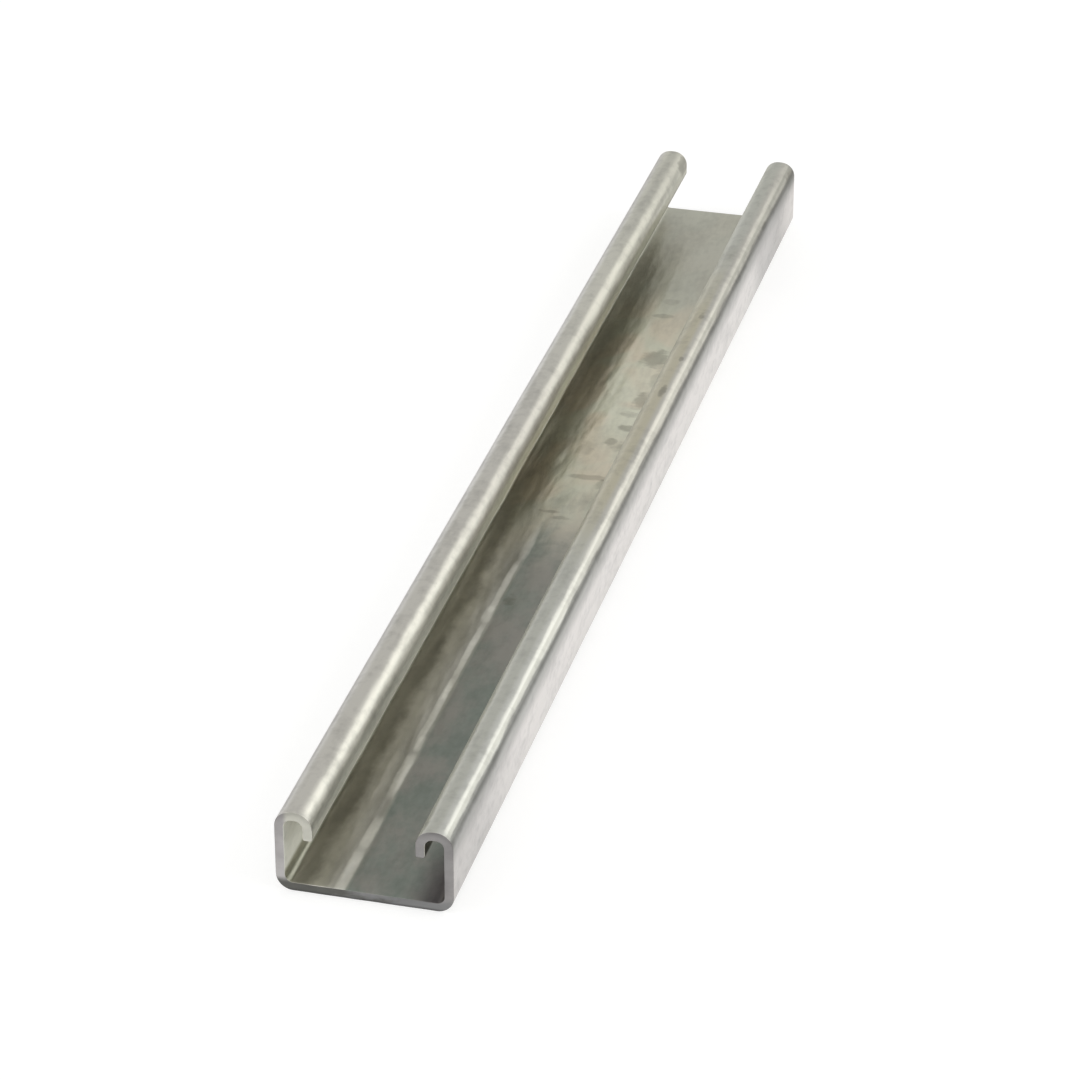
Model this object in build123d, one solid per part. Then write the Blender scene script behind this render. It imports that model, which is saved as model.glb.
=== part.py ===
"""Strut channel: one steel strip, cold-rolled into a lipped C section.

X runs across the channel, Y along it and Z out of its open side. The origin is the middle
of the back face, so the channel lies on its back with the slot between its lips upwards.
"""

import os

from build123d import *

# Section
channel_width = 41.3     # over the outer faces of the two flanges
channel_depth = 20.6     # from the back face to the crowns of the lips
strip_thickness = 2.2    # the same in the web, the flanges and the lips
back_bend_radius = 1.8   # inside of the bends between the web and the flanges
crown_flat = 0.75        # flat left on top of each hook, between its two bends
slot_width = 23.8        # clear gap between the lips
lip_depth = 7.0          # from the crown of a hook down to the tip of its lip
lip_edge_radius = 0.5    # rounded edges of the strip, at the lips' tips

# Length
channel_length = 375.0
end_break = 0.2          # bevel round each cut end, where it was deburred


def strip_centreline() -> Wire:
    """The bent strip's middle line, from one lip's tip to the other's."""
    half_strip = strip_thickness / 2
    lip_x = slot_width / 2 + half_strip
    flange_x = channel_width / 2 - half_strip
    crown_z = channel_depth - half_strip
    tip_z = channel_depth - lip_depth

    back_radius = back_bend_radius + half_strip
    crown_radius = (flange_x - lip_x - crown_flat) / 2

    right_side = [
        (flange_x, half_strip),
        (flange_x, crown_z),
        (lip_x, crown_z),
        (lip_x, tip_z),
    ]
    left_side = [(-x, z) for x, z in reversed(right_side)]
    right_radii = [back_radius, crown_radius, crown_radius]
    left_radii = right_radii[::-1]
    return FilletPolyline(*left_side, *right_side, radius=left_radii + right_radii)


def rolled_section() -> Sketch:
    """The strip's full thickness about its middle line, with rounded edges at both lip tips."""
    section = trace(strip_centreline(), line_width=strip_thickness)
    tip_z = channel_depth - lip_depth
    tip_corners = section.vertices().filter_by_position(
        Axis.Y, tip_z - lip_edge_radius / 2, tip_z + lip_edge_radius / 2
    )
    return fillet(tip_corners, lip_edge_radius)


def strut_channel() -> Part:
    """The section run out to the channel's length, with both cut ends deburred."""
    across_section = Plane(origin=(0, channel_length / 2, 0), x_dir=(1, 0, 0), z_dir=(0, -1, 0))
    bar = extrude(across_section * rolled_section(), amount=channel_length)
    cut_ends = bar.faces().sort_by(Axis.Y)
    rims = cut_ends[0].edges() + cut_ends[-1].edges()
    return chamfer(rims, end_break)


os.makedirs("parts", exist_ok=True)
export_step(strut_channel(), "parts/strut_channel.step")
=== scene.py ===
"""Looks of the strut channel: bright zinc-coated steel, rolled to a lipped C and cut square."""

import math
from types import SimpleNamespace

import bmesh
import bpy
from mathutils import Matrix, Vector, noise


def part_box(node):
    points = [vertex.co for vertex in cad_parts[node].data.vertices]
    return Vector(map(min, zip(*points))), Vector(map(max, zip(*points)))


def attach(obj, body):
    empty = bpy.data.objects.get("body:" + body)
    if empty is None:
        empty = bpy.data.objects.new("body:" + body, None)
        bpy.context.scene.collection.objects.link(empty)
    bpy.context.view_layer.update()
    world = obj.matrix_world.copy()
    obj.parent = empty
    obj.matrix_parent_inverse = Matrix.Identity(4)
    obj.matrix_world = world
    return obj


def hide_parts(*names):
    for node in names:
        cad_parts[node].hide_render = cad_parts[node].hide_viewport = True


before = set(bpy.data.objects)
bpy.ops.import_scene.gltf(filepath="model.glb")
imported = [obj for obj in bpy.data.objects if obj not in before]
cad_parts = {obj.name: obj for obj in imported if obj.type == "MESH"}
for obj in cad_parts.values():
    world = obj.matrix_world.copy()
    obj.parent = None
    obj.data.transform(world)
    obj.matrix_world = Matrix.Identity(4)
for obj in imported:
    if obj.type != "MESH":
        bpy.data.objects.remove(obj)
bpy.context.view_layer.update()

MM = 0.001
LOW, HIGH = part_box("strut_channel")
WIDTH = HIGH.x - LOW.x
LENGTH = HIGH.y - LOW.y
DEPTH = HIGH.z - LOW.z

# The rolled section
STRIP = 2.2 * MM           # thickness of the steel
SLOT = 23.8 * MM           # clear gap between the lips
LIP = 7.0 * MM             # from the crown of a hook to the tip of its lip
BEND = 4.0 * MM            # outside radius of every bend
LIP_EDGE = 0.5 * MM        # rounded edges of the strip
END_EDGE = 0.2 * MM        # bevel round the cut ends

# The fineness of its mesh
BEND_STEPS = 10
EDGE_STEPS = 3
ACROSS_STEP = 2.0 * MM
ALONG_STEP = 2.5 * MM
SQUARE = math.radians(60)  # the least turn of an edge that gets rounded
SMOOTH = math.radians(22)  # the most turn that is shaded as one surface

# How far the steel strays from true, always inwards
HOLLOW = 0.08 * MM
HOLLOW_ACROSS = 18.0 * MM
HOLLOW_ALONG = 45.0 * MM
CUT_WANDER = 0.15 * MM
CUT_WANDER_SIZE = 4.0 * MM

# Material slots
COATED, CUT = 0, 1


# ------------------------------------------------------------------ shader maths

class Value:
    """What flows out of a shader node. Arithmetic on it adds Math nodes."""

    def __init__(self, shader, socket):
        self.shader = shader
        self.socket = socket

    def __add__(self, other):
        return self.shader.math("ADD", self, other)

    def __radd__(self, other):
        return self.shader.math("ADD", other, self)

    def __sub__(self, other):
        return self.shader.math("SUBTRACT", self, other)

    def __rsub__(self, other):
        return self.shader.math("SUBTRACT", other, self)

    def __mul__(self, other):
        return self.shader.math("MULTIPLY", self, other)

    def __rmul__(self, other):
        return self.shader.math("MULTIPLY", other, self)

    def __truediv__(self, other):
        return self.shader.math("DIVIDE", self, other)

    def __pow__(self, other):
        return self.shader.math("POWER", self, other)

    def __abs__(self):
        return self.shader.math("ABSOLUTE", self)


class Shader:
    """The node tree of one material, or of the world."""

    def __init__(self, owner):
        owner.use_nodes = True
        self.tree = owner.node_tree
        self.tree.nodes.clear()

    def node(self, kind, settings=None, inputs=(), output=0):
        """Adds a node, with its settings first and then its inputs, by number or by name."""
        made = self.tree.nodes.new(kind)
        for name, setting in (settings or {}).items():
            setattr(made, name, setting)
        pairs = inputs.items() if isinstance(inputs, dict) else enumerate(inputs)
        for key, value in pairs:
            if isinstance(value, Value):
                self.tree.links.new(value.socket, made.inputs[key])
            else:
                made.inputs[key].default_value = value
        return Value(self, made.outputs[output]) if made.outputs else None

    def math(self, operation, *values):
        return self.node("ShaderNodeMath", {"operation": operation}, values)

    def coordinates(self, stretch=(1, 1, 1)):
        """Object coordinates in millimetres, with each axis multiplied by its stretch."""
        point = self.node("ShaderNodeTexCoord", output="Object")
        scale = [factor / MM for factor in stretch]
        return self.node("ShaderNodeMapping", inputs={"Vector": point, "Scale": scale})

    def axes(self, vector):
        """The three parts of a vector."""
        split = self.node("ShaderNodeSeparateXYZ", inputs=[vector])
        return [Value(self, socket) for socket in split.socket.node.outputs]

    def noise(self, size, stretch=(1, 1, 1), detail=2.0, roughness=0.5, distortion=0.0):
        """Cloudy noise, half above 0 and half below, in clouds about size millimetres across."""
        cloudy = self.node("ShaderNodeTexNoise", inputs={
            "Vector": self.coordinates(stretch), "Scale": 1 / size, "Detail": detail,
            "Roughness": roughness, "Distortion": distortion})
        return cloudy - 0.5

    def crystals(self, size, stretch=(1, 1, 1)):
        """Cells about size millimetres across, each with a value of its own from 0 to 1."""
        cells = self.node("ShaderNodeTexVoronoi", inputs={
            "Vector": self.coordinates(stretch), "Scale": 1 / size}, output="Color")
        return self.axes(cells)[0]

    def step(self, value, start, end):
        """0 up to start, 1 past end, and smooth between them. End may be the lower one."""
        return self.node("ShaderNodeMapRange", {"interpolation_type": "SMOOTHSTEP"},
                         {"Value": value, "From Min": start, "From Max": end})

    def blend(self, factor, first, second):
        """The first colour where factor is 0, and the second where it is 1."""
        return self.node("ShaderNodeMix", {"data_type": "RGBA"},
                         {0: factor, 6: first, 7: second}, output=2)

    def lay(self, tone, layers):
        """A tone under layers, the lowest first. Each is how much it covers, and its own tone."""
        for cover, layer in layers:
            tone = self.blend(cover, tone, layer)
        return tone

    def bump(self, height):
        """The normal of a surface with this height in millimetres."""
        return self.node("ShaderNodeBump",
                         inputs={"Height": height, "Strength": 1.0, "Distance": MM})

    def metal(self, tone, brightness, metallic, roughness, normal):
        """The material's surface. Brightness is the share of the tone that shows."""
        lit = self.blend(brightness, BLACK, tone)
        surface = self.node("ShaderNodeBsdfPrincipled", inputs={
            "Base Color": lit, "Metallic": metallic, "Roughness": roughness, "Normal": normal})
        self.node("ShaderNodeOutputMaterial", inputs={"Surface": surface})

    def ray(self, kind):
        """1 for a ray of this kind and 0 for others."""
        return self.node("ShaderNodeLightPath", output=kind)


def colour(red, green, blue):
    return (red, green, blue, 1.0)


BLACK = colour(0.0, 0.0, 0.0)
WHITE = colour(1.0, 1.0, 1.0)


# ------------------------------------------------------------------ tones and marks

# Tones of the coat. Where there are two, the zone runs from one to the other.
LEFT_HOOK = colour(0.71, 0.69, 0.64), colour(0.76, 0.75, 0.67)
# Painted light on the left lip's face, strongest towards the near end
LEFT_LIP_LIGHT = colour(0.97, 0.96, 0.88)
# The left flange's tone, and painted light along the middle of its length
LEFT_FLANGE_TONE_AND_LIGHT = colour(0.78, 0.76, 0.73), colour(0.92, 0.90, 0.87)
RIGHT_HOOK = colour(0.615, 0.62, 0.565), colour(0.645, 0.61, 0.48)
# The right bend's tone, painted lighter near the near end as a highlight
RIGHT_BEND_HIGHLIGHT = colour(0.645, 0.63, 0.58), colour(0.745, 0.75, 0.71)
# Painted light on the right lip's face, more from the middle on
RIGHT_LIP_LIGHT = colour(0.75, 0.75, 0.68)
RIGHT_FLANGE = colour(0.75, 0.718, 0.695)
UNDERSIDE = colour(0.73, 0.72, 0.69)
BEND_SHADE = colour(0.30, 0.30, 0.27)
HOOK_SHADE = colour(0.30, 0.30, 0.28)
FLANGE_SHADE = colour(0.30, 0.29, 0.28)

POCKET = colour(0.70, 0.69, 0.60)
# Painted shade on the pockets' inner faces, from about the middle to the far end
POCKET_WALL_SHADE = colour(0.40, 0.39, 0.335)
# Painted shade along the left edge of the web, under the left hook
CORNER_SHADE = colour(0.34, 0.325, 0.265)
# Painted shade low in the left pocket, in the near half
FOLD_SHADE = colour(0.42, 0.43, 0.35)
# Painted light and shade left of the streak: lighter towards the lip, darker towards the streak
LEFT_WEB_LIGHT_AND_SHADE = colour(0.97, 0.945, 0.85), colour(0.50, 0.49, 0.445)
# Patches of the near web's own tones, painted darker as shade
SHADED_WEB_PATCHES = colour(0.235, 0.27, 0.245), colour(0.31, 0.30, 0.28)
FAR_WEB = colour(0.75, 0.75, 0.615), colour(0.79, 0.725, 0.585)
# A painted reflection: a lighter band across the web beyond its middle
WEB_REFLECTION = colour(0.93, 0.93, 0.78), colour(0.95, 0.87, 0.71)
GREY_WEB = colour(0.56, 0.56, 0.49), colour(0.61, 0.61, 0.54)
WEB_SHADE = colour(0.36, 0.355, 0.30)

# A painted reflection of the left lip's face, as a bright streak along the web
STREAK_REFLECTION = colour(0.95, 0.94, 0.87)
STAIN = colour(0.12, 0.105, 0.07)
# Specks, and painted shade on the bends at the far end
SPECK_AND_SHADE = colour(0.22, 0.21, 0.18)
# Painted shadow inside the right pocket at the near end
POCKET_SHADOW = colour(0.125, 0.112, 0.118)
# Painted light inside the left pocket at the near end, where the coat is less metallic
POCKET_LIGHT = colour(0.93, 0.94, 0.86)

# Tones of the cut ends
CUT_STEEL = colour(0.36, 0.345, 0.345), colour(0.47, 0.455, 0.45)
CUT_LEFT_HOOK = colour(0.58, 0.575, 0.51)
CUT_RIGHT = colour(0.12, 0.115, 0.115)
CUT_WEB = colour(0.13, 0.13, 0.12), colour(0.23, 0.23, 0.23)
CUT_LOWER_EDGE = colour(0.07, 0.07, 0.07)

# Marks on the coat, in millimetres: (x, y), half the size each way, strength. Besides stains
# and specks they hold painted shade and a painted reflection.
STAINS = [
    ((2.4, 87.5), (3.9, 5.2), 1.0),
    ((4.3, 61.7), (2.3, 4.6), 0.9),
    ((4.4, 44.7), (2.4, 1.9), 0.9),
    ((3.0, 53.0), (2.4, 1.6), 0.6),
    ((1.9, 36.2), (1.5, 1.9), 0.8),
    ((4.4, 33.5), (1.6, 2.2), 0.5),
    ((-3.6, 31.5), (2.4, 4.0), 0.4),
    ((5.8, 34.5), (1.8, 3.4), 0.4),
    ((1.6, 15.2), (5.8, 1.4), 0.7),
    ((5.3, 11.8), (1.6, 2.8), 0.7),
    ((-1.8, 114.6), (3.6, 1.2), 0.6),
    ((-1.8, 124.0), (2.6, 1.8), 0.4),
    ((-4.4, -5.4), (2.6, 0.8), 0.7),
    ((-0.6, -8.2), (2.6, 0.9), 0.6),
    ((5.0, 75.0), (1.4, 5.0), 0.4),
    ((-2.4, -53.0), (1.5, 2.6), 0.8),
]
HOOK_SPECKS_AND_SHADE = [
    ((16.3, 33.5), (0.9, 3.6), 1.0),
    ((16.9, 53.1), (0.6, 1.4), 0.8),
    ((16.5, 80.2), (0.7, 1.9), 0.7),
    ((20.2, -53.0), (0.5, 3.2), 0.5),
    ((20.1, 146.6), (0.5, 3.0), 0.7),
    # These last two are painted shade on the bends at the far end
    ((20.3, 183.5), (0.9, 6.0), 0.9),
    ((-12.4, 184.0), (0.9, 5.0), 0.7),
]
# Where the painted reflection of the left lip lies on the web: a broken streak
STREAK_PLACES = [
    ((-5.9, -180.5), (1.1, 8.0), 1.15),
    ((-5.7, -163.5), (1.0, 5.6), 1.05),
    ((-5.7, -138.5), (1.0, 8.0), 1.15),
    ((-5.4, -124.0), (0.7, 3.0), 0.7),
    ((-5.9, -110.0), (0.75, 13.0), 1.0),
    ((-5.6, -84.0), (0.7, 15.0), 1.1),
    ((-5.8, -61.0), (1.0, 3.5), 0.8),
    ((-5.7, -47.0), (0.75, 11.0), 1.0),
    ((-5.1, -22.0), (1.0, 8.0), 0.7),
]


# ------------------------------------------------------------------ finishes

# Here x runs across the channel from left to right, y along it from the near end to the far
# one, and z up from its back, in millimetres, with x and y from its middle. A zone or a mark is
# 1 where it is full and 0 where there is none of it.

def marks(shader, x, y, places, squareness, edge, softness):
    """Marks at places: ovals where squareness is 1, and squarer where it is more. Edge, a noise,
    makes their outlines ragged."""
    marked = 0.0
    for (at_x, at_y), (half_x, half_y), strength in places:
        across, along = (x - at_x) / half_x, (y - at_y) / half_y
        away = (across * across) ** squareness + (along * along) ** squareness + edge
        marked = marked + strength * shader.step(away, 1 + softness, 1 - softness)
    return marked


def zinc_noises(shader):
    """The uneven patterns in the coat, from the broadest to the finest."""
    return SimpleNamespace(
        clouds=shader.noise(32.0, detail=3.0),
        tints=shader.noise(14.0, (1, 0.6, 1), detail=1.5, distortion=0.6),
        patches=shader.noise(12.0, (1, 0.6, 1), detail=4.0, roughness=0.6),
        swell=shader.noise(7.0, (1, 0.2, 1)),
        smudges=shader.noise(5.0, (1, 0.35, 1), detail=3.0, roughness=0.6),
        flakes=shader.crystals(5.0, (1, 0.6, 1)),
        ragged=shader.noise(2.6, (0.7, 1, 1), detail=3.0, roughness=0.6),
        roll_lines=shader.noise(1.8, (1, 0.03, 1), detail=1.0),
        grain=shader.noise(1.3, (1, 0.4, 1)),
    )


def zinc_zones(shader, x, y, z, noises):
    """The zones that more than one part of the finish asks for."""
    step = shader.step
    lip_height = step(z, 12.5, 14.0)
    zone = SimpleNamespace(
        near_half=step(y, 0.0, -120.0),
        near_end=step(y + 8 * noises.ragged, -158.0, -176.0),
        inside=step(abs(x), 19.9, 19.2) * step(z, 0.8, 1.4) * step(z, 17.6, 16.6),
        left_lip=step(x, -15.4, -13.2) * step(x, -9.0, -11.0) * lip_height,
        right_lip=((0.5 + 0.5 * step(y, -60.0, 0.0)) * step(x, 14.8, 12.2)
                   * step(x, 9.0, 11.0) * lip_height),
        right_flange=step(x, 19.9, 20.5),
    )
    # Painted light inside the left pocket at the near end
    zone.chalk = zone.near_end * zone.inside * step(x, -16.8, -18.2) * step(z, 4.0, 6.0)

    # The web is rougher at the near end and painted darker there as shade, right of a streak that
    # is a painted reflection, and pale from the middle on, with a band of painted reflection. Its
    # zones follow coordinates that sway, so that no border is straight.
    zone.sway_x = x + 1.2 * noises.smudges
    zone.sway_y = y + 34 * noises.patches + 8 * noises.ragged
    zone.far = step(zone.sway_y, -38.0, 12.0)
    zone.web = zone.inside * step(z, 4.5, 3.0)
    zone.near_web, zone.far_web = zone.web * (1 - zone.far), zone.web * zone.far
    right_of_line = step(zone.sway_x, -5.4, -3.8)
    zone.left_web = zone.near_web * (1 - right_of_line)
    zone.dull_web = zone.near_web * right_of_line
    return zone


def outside_tone(shader, x, y, z, noises, zone):
    """The tone of the hooks, the back and both flanges, with a painted highlight on the right
    bend near the near end, painted shade along that bend and on the left crown towards the far
    end, and painted light along the middle of the left flange.
    """
    step, blend = shader.step, shader.blend
    cloudy_y = y + 60 * noises.clouds
    left_hook = blend(step(cloudy_y, 0.0, 130.0), *LEFT_HOOK)
    right_hook = blend(step(abs(cloudy_y - 30), 95.0, 45.0), *RIGHT_HOOK)
    left_crown = step(x, -17.5, -16.0) * step(x, -10.0, -12.0) * step(z, 17.0, 19.0)
    right_bend = step(x, 16.2, 17.8) * step(z, 12.0, 14.0)
    thin_line = step(x, 18.7, 19.1) * step(x, 19.8, 19.3) * step(z, 14.0, 16.0)
    return shader.lay(left_hook, [
        (step(x, -10.0, 10.0), right_hook),
        (step(z, 10.0, 4.0), UNDERSIDE),
        (right_bend, blend(zone.near_half, *RIGHT_BEND_HIGHLIGHT)),
        (0.34 * right_bend * step(x, 17.8, 18.8) * step(y, 10.0, 160.0), BEND_SHADE),
        ((0.35 + 0.25 * step(y, 20.0, 80.0)) * thin_line, BEND_SHADE),
        (0.25 * left_crown * step(y, 100.0, 160.0), HOOK_SHADE),
        (step(x, -17.2, -19.6), blend(step(abs(y - 20), 110.0, 40.0), *LEFT_FLANGE_TONE_AND_LIGHT)),
        (zone.right_flange * step(z, 17.0, 15.0), RIGHT_FLANGE),
    ])


def inside_layers(shader, x, y, z, noises, zone):
    """The pockets, the lips' faces and the web, as (cover, tone), from the lowest up. Besides
    stains and tones it holds much painted light, shade and reflection.
    """
    step, blend = shader.step, shader.blend
    lip_faces = step(abs(x), 12.8, 12.0) * step(z, 13.8, 14.8)
    # Painted shade on the pockets' inner faces
    shaded_walls = zone.inside * step(y, -20.0, 30.0) * (1 - zone.web) * (1 - 0.78 * lip_faces)
    # Painted reflection in a band across the far web
    reflecting_web = zone.far_web * step(abs(zone.sway_y - 62.0), 50.0, 10.0)
    grey_web = zone.web * step(zone.sway_y, 100.0, 140.0)
    # Painted shade along the left edge of the web
    corner_shade = step(x + 1.4 * zone.far + 7 * noises.patches + 2 * noises.smudges, -10.8, -14.3)
    corner_shade = corner_shade * (1 - 0.8 * step(y, 135.0, 175.0))
    tinted = step(noises.tints, -0.10, 0.10)
    # Painted reflection: the bright broken streak on the near web
    painted_streak = zone.near_web * marks(shader, zone.sway_x, y, STREAK_PLACES,
                                   squareness=2, edge=2 * noises.ragged, softness=3.0)
    stained = zone.web * marks(shader, x, y, STAINS,
                               squareness=1, edge=3 * noises.ragged, softness=0.7)
    # Painted shadow inside the right pocket at the near end
    shadowed_pocket = zone.near_end * zone.inside * step(x - 0.4 * z, 7.0, 15.5)
    # Painted shade where the left pocket's wall meets the web
    fold = zone.inside * (1 - zone.far) * step(x, -16.6, -17.4) * step(z, 6.0, 4.4)
    return [
        (zone.inside, POCKET),
        ((0.15 + 0.75 * zone.near_half) * zone.left_lip, LEFT_LIP_LIGHT),
        (0.6 * zone.right_lip, RIGHT_LIP_LIGHT),
        (zone.left_web, blend(step(zone.sway_x, -11.5, -6.0), *LEFT_WEB_LIGHT_AND_SHADE)),
        (shaded_walls, POCKET_WALL_SHADE),
        (zone.far_web, blend(tinted, *FAR_WEB)),
        (0.8 * reflecting_web, blend(tinted, *WEB_REFLECTION)),
        (0.15 * zone.far_web * step(x, -7.0, -9.0), WEB_SHADE),
        ((0.7 - 0.15 * zone.far) * zone.web * corner_shade, CORNER_SHADE),
        ((0.80 + 0.10 * zone.near_half) * zone.dull_web,
         blend(step(noises.patches, -0.12, 0.12), *SHADED_WEB_PATCHES)),
        (0.85 * grey_web, blend(step(y, 140.0, 175.0), *GREY_WEB)),
        (0.85 * painted_streak, STREAK_REFLECTION),
        (0.42 * stained, STAIN),
        (0.85 * shadowed_pocket, POCKET_SHADOW),
        (zone.chalk, POCKET_LIGHT),
        (0.7 * fold, FOLD_SHADE),
    ]


def outside_specks_and_shade(shader, x, y, z, noises, zone):
    """Specks on the hooks, painted shade on the bends at the far end, and painted shade below
    the right bend and on the right flange, as (cover, tone).
    """
    step = shader.step
    specked_and_shaded = step(z, 15.0, 16.0) * marks(shader, x, y, HOOK_SPECKS_AND_SHADE,
                                          squareness=1, edge=3 * noises.ragged, softness=0.7)
    below_bend = step(x, 19.85, 20.25) * step(z, 11.5, 16.5)
    ends = step(y + 20 * noises.clouds, -115.0, -175.0) + 1.25 * step(abs(y - 153), 30.0, 8.0)
    foot = step(z, 9.0, 3.0)
    return [
        (0.6 * specked_and_shaded, SPECK_AND_SHADE),
        (0.68 * below_bend, HOOK_SHADE),
        (zone.right_flange * (0.4 * ends + 0.13 * foot), FLANGE_SHADE),
    ]


def zinc_coat():
    """Bright zinc on cold-rolled steel: spangle, cloudy tones, roll lines and a few stains, with
    painted light, shade and reflections in the channel and along its bends.
    """
    material = bpy.data.materials.new("zinc_coat")
    shader = Shader(material)
    x, y, z = shader.axes(shader.coordinates())
    noises = zinc_noises(shader)
    zone = zinc_zones(shader, x, y, z, noises)
    outside = 1 - zone.inside

    tone = outside_tone(shader, x, y, z, noises, zone)
    tone = shader.lay(tone, inside_layers(shader, x, y, z, noises, zone))
    tone = shader.lay(tone, outside_specks_and_shade(shader, x, y, z, noises, zone))
    brightness = (
        0.94 + 0.04 * noises.flakes + 0.24 * noises.grain + 0.06 * noises.roll_lines
        + 0.16 * noises.clouds + (0.30 + 0.20 * outside) * noises.smudges
        + (0.12 + 0.30 * outside) * noises.ragged
        + (0.40 * zone.dull_web + 0.5 * zone.left_web + 0.3 * zone.far_web) * noises.patches)
    metallic = 1 - 0.8 * zone.chalk - 0.5 * zone.right_lip
    roughness = (
        0.305 + 0.01 * noises.flakes + 0.03 * noises.roll_lines + 0.06 * noises.smudges
        + 0.16 * zone.dull_web + 0.07 * zone.left_web + 0.15 * zone.left_lip
        + 0.2 * zone.right_lip + 0.14 * shader.step(y, 148.0, 180.0))
    height = (0.004 * noises.roll_lines + 0.02 * noises.grain + 0.10 * noises.smudges
              + 0.55 * noises.swell)
    shader.metal(tone, brightness, metallic, roughness, shader.bump(height))
    return material


def cut_steel():
    """The cut ends: bare steel, mottled, darker along the bottom."""
    material = bpy.data.materials.new("cut_steel")
    shader = Shader(material)
    step, blend = shader.step, shader.blend
    x, y, z = shader.axes(shader.coordinates())
    mottles = shader.noise(3.0, (0.5, 1, 1), detail=3.0, roughness=0.6)
    clouds = shader.noise(9.0)
    left_hook = step(x, -18.8, -17.4) * step(x, -9.0, -11.0) * step(z, 10.0, 13.0)
    tone = shader.lay(blend(step(clouds, -0.2, 0.2), *CUT_STEEL), [
        (left_hook, CUT_LEFT_HOOK),
        (0.4 * step(x, 8.0, 12.0), CUT_RIGHT),
        (step(z + 1.6 * mottles, 4.0, 1.8), blend(step(x + 40 * mottles, -6.0, 6.0), *CUT_WEB)),
        (0.7 * step(z, 0.9, 0.2), CUT_LOWER_EDGE),
    ])
    shader.metal(tone, 0.95 + 0.5 * mottles, 1.0, 0.42 + 0.15 * mottles,
                 shader.bump(0.12 * mottles))
    return material


# ------------------------------------------------------------------ the channel

def share_out(bm, edges, step):
    """Cuts edges into equal pieces about a step long, and the faces between them into a grid."""
    alike = {}
    for edge in edges:
        alike.setdefault(round(edge.calc_length() / step) - 1, []).append(edge)
    for cuts, group in alike.items():
        if cuts > 0:
            bmesh.ops.subdivide_edges(bm, edges=group, cuts=cuts, use_grid_fill=True)


def runs_along(edge):
    return abs(edge.verts[0].co.y - edge.verts[1].co.y) > MM / 2


def square_edges(bm):
    return [edge for edge in bm.edges if edge.calc_face_angle() > SQUARE]


def round_off(bm, edges, radius, steps):
    bmesh.ops.bevel(bm, geom=edges, offset=radius, offset_type="OFFSET", segments=steps,
                    profile=0.5, affect="EDGES", material=-1)


def rolled_strip():
    """The channel as the rollers leave it: a flat ribbon folded square, rounded at each fold,
    divided into a fine grid and given its thickness inwards."""
    bm = bmesh.new()
    right = [(WIDTH / 2, 0), (WIDTH / 2, DEPTH), (SLOT / 2, DEPTH), (SLOT / 2, DEPTH - LIP)]
    outline = [(-x, z) for x, z in reversed(right)] + right
    line = [bm.verts.new((x, -LENGTH / 2, z)) for x, z in outline]
    for start, end in zip(line, line[1:]):
        bm.edges.new((start, end))
    drawn = bmesh.ops.extrude_edge_only(bm, edges=bm.edges[:])
    far_end = [part for part in drawn["geom"] if isinstance(part, bmesh.types.BMVert)]
    bmesh.ops.translate(bm, verts=far_end, vec=(0, LENGTH, 0))

    folds = [edge for edge in bm.edges if len(edge.link_faces) == 2]
    round_off(bm, folds, BEND, BEND_STEPS)
    share_out(bm, [edge for edge in bm.edges if not runs_along(edge)], ACROSS_STEP)
    share_out(bm, [edge for edge in bm.edges if runs_along(edge)], ALONG_STEP)

    bmesh.ops.recalc_face_normals(bm, faces=bm.faces)
    bmesh.ops.solidify(bm, geom=bm.faces[:], thickness=STRIP)
    return bm


def finish_edges(bm):
    """Gives the cut ends their own finish, then rounds the strip's edges at the lips' tips and
    breaks the rims of the ends."""
    for face in bm.faces:
        face.material_index = CUT if abs(face.normal.y) > 0.9 else COATED
    round_off(bm, [edge for edge in square_edges(bm) if runs_along(edge)], LIP_EDGE, EDGE_STEPS)
    round_off(bm, square_edges(bm), END_EDGE, EDGE_STEPS)


def stray_from_true(bm):
    """Shallow hollows in the web and flanges, and cuts that wander a little, all inwards."""
    for vert in bm.verts:
        x, y, z = vert.co
        slow = Vector((x / HOLLOW_ACROSS, y / HOLLOW_ALONG, z / HOLLOW_ACROSS))
        hollow = HOLLOW * (0.5 + 0.5 * noise.noise(slow))
        if z < DEPTH / 2:
            vert.co.z += hollow * (1 - z / (DEPTH / 2))
        vert.co.x -= hollow * x / (WIDTH / 2)
        if abs(y) > LENGTH / 2 - 2 * END_EDGE:
            quick = Vector((x / CUT_WANDER_SIZE, y, z / CUT_WANDER_SIZE))
            wander = CUT_WANDER * (0.5 + 0.5 * noise.noise(quick))
            vert.co.y -= math.copysign(wander, y)


def channel_steel():
    bm = rolled_strip()
    finish_edges(bm)
    stray_from_true(bm)
    mesh = bpy.data.meshes.new("channel_steel")
    bm.to_mesh(mesh)
    bm.free()
    mesh.shade_smooth()
    mesh.set_sharp_from_angle(angle=SMOOTH)
    mesh.materials.append(zinc_coat())
    mesh.materials.append(cut_steel())
    piece = bpy.data.objects.new("channel_steel", mesh)
    bpy.context.scene.collection.objects.link(piece)
    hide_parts("strut_channel")
    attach(piece, "root")
    return piece


# ------------------------------------------------------------------ the studio

FLOOR_RADIUS = 3.0
FLOOR_PAINT = colour(0.5, 0.5, 0.5)
FLOOR_GLOW = 0.60
MIRRORED_FLOOR = 28.0      # millimetres out from the channel that show white in its steel
MIRRORED_FADE = 70.0       # and where that white has faded out
ROOM = colour(0.60, 0.60, 0.585)
PALE_HORIZON = colour(0.95, 0.95, 0.95)
DARK_HORIZON = colour(0.10, 0.10, 0.10)


def seen_by_camera(shader):
    """1 for a ray from the camera, or one that has come through glass."""
    return shader.ray("Is Camera Ray") + shader.ray("Is Transmission Ray")


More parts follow.
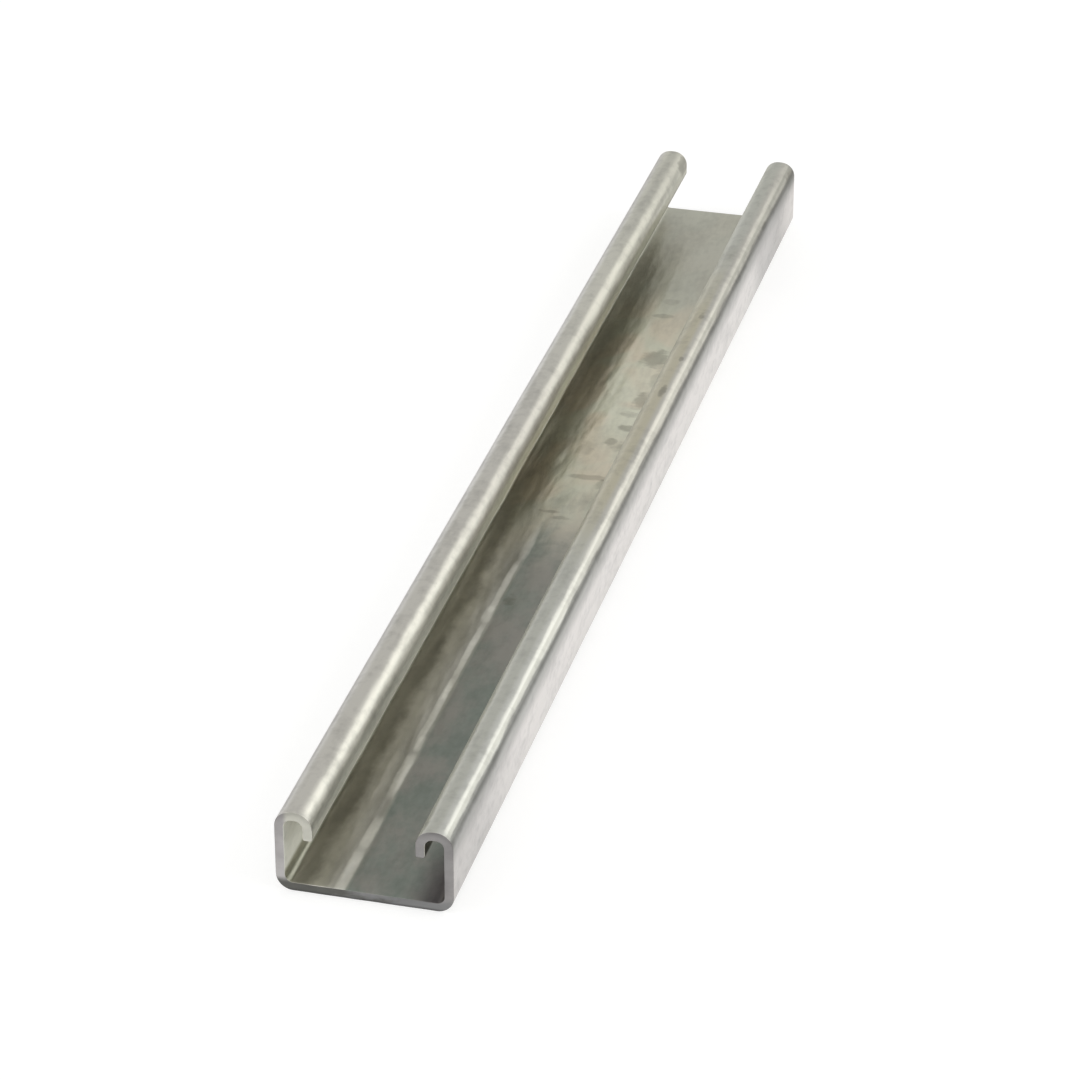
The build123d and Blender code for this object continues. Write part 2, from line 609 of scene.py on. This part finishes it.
def floor():
    """A round floor, evenly white but for the channel's soft shadow. The steel mirrors only
    the part of it that lies close by as white."""
    bm = bmesh.new()
    bmesh.ops.create_circle(bm, cap_ends=True, segments=96, radius=FLOOR_RADIUS)
    mesh = bpy.data.meshes.new("floor")
    bm.to_mesh(mesh)
    bm.free()
    material = bpy.data.materials.new("white_floor")
    shader = Shader(material)
    x, y, z = shader.axes(shader.coordinates())
    away = shader.math("MAXIMUM", abs(x), abs(y) - LENGTH / MM / 2)
    mirrored = shader.ray("Is Glossy Ray") * shader.step(away, MIRRORED_FADE, MIRRORED_FLOOR)
    white = shader.math("MAXIMUM", seen_by_camera(shader), mirrored)
    paint = shader.node("ShaderNodeBsdfDiffuse", inputs={"Color": FLOOR_PAINT})
    glow = shader.node("ShaderNodeEmission",
                       inputs={"Color": WHITE, "Strength": FLOOR_GLOW * white})
    both = shader.node("ShaderNodeAddShader", inputs=[paint, glow])
    shader.node("ShaderNodeOutputMaterial", inputs={"Surface": both})
    mesh.materials.append(material)
    piece = bpy.data.objects.new("floor", mesh)
    bpy.context.scene.collection.objects.link(piece)


def sky():
    """White where the camera sees it. To the steel it is an even grey room, with a pale
    horizon on the left and a dark one on the right."""
    world = bpy.data.worlds.new("studio")
    bpy.context.scene.world = world
    shader = Shader(world)
    x, y, z = shader.axes(shader.node("ShaderNodeTexCoord", output="Generated"))
    horizon = shader.step(z, 0.20, 0.08)
    shown = shader.lay(ROOM, [
        (horizon * shader.step(x, -0.30, -0.50), PALE_HORIZON),
        (horizon * shader.step(x, 0.30, 0.50), DARK_HORIZON),
        (seen_by_camera(shader), WHITE),
    ])
    light = shader.node("ShaderNodeBackground", inputs={"Color": shown, "Strength": 1.0})
    shader.node("ShaderNodeOutputWorld", inputs={"Surface": light})


def softbox(name, round_length, from_far_end, width, height, radiance,
            tint=(1.0, 1.0, 1.0), distance=2.0):
    """A soft panel that faces the channel. It stands at one angle round the channel's length,
    from straight above towards the right, and at another from the way that the length points.
    Its width, round the length, and its height are angles too, as the channel sees them."""
    turn, swing = math.radians(round_length), math.radians(from_far_end)
    way = Vector((math.sin(swing) * math.sin(turn), math.cos(swing),
                  math.sin(swing) * math.cos(turn)))
    across = Vector((math.cos(turn), 0, -math.sin(turn)))
    light = bpy.data.lights.new(name, "AREA")
    light.shape = "RECTANGLE"
    light.size = 2 * distance * math.tan(math.radians(width / 2))
    light.size_y = 2 * distance * math.tan(math.radians(height / 2))
    light.energy = radiance * math.pi * light.size * light.size_y
    light.color = tint
    panel = bpy.data.objects.new(name, light)
    axes = Matrix((across, way.cross(across), way)).transposed()
    panel.matrix_world = Matrix.Translation(way * distance) @ axes.to_4x4()
    panel.visible_camera = False
    bpy.context.scene.collection.objects.link(panel)


def studio_lights():
    softbox("key_panel", round_length=50, from_far_end=36, width=30, height=24, radiance=0.95,
            tint=(1.0, 0.99, 0.92))
    softbox("top_panel", round_length=0, from_far_end=95, width=50, height=50, radiance=0.4)
    softbox("right_panel", round_length=55, from_far_end=90, width=35, height=40, radiance=1.6)
    softbox("left_panel", round_length=-55, from_far_end=110, width=30, height=40, radiance=1.2)
    softbox("front_panel", round_length=30, from_far_end=150, width=30, height=25, radiance=1.2)


def camera():
    """A long lens from the front right, well above the channel."""
    turn, rise = math.radians(14.52), math.radians(28.908)
    distance = 1.0787
    target = Vector((-3.897 * MM, -17.06 * MM, 0))
    back = Vector((math.sin(turn) * math.cos(rise), -math.cos(turn) * math.cos(rise),
                   math.sin(rise)))
    data = bpy.data.cameras.new("camera")
    data.sensor_width = 36.0
    data.lens = 140.11
    data.clip_start = 0.05
    view = bpy.data.objects.new("camera", data)
    view.location = target + back * distance
    view.rotation_euler = back.to_track_quat("Z", "Y").to_euler()
    bpy.context.scene.collection.objects.link(view)
    bpy.context.scene.camera = view


camera()
channel_steel()
floor()
sky()
studio_lights()
bpy.context.scene.view_settings.view_transform = "Standard"
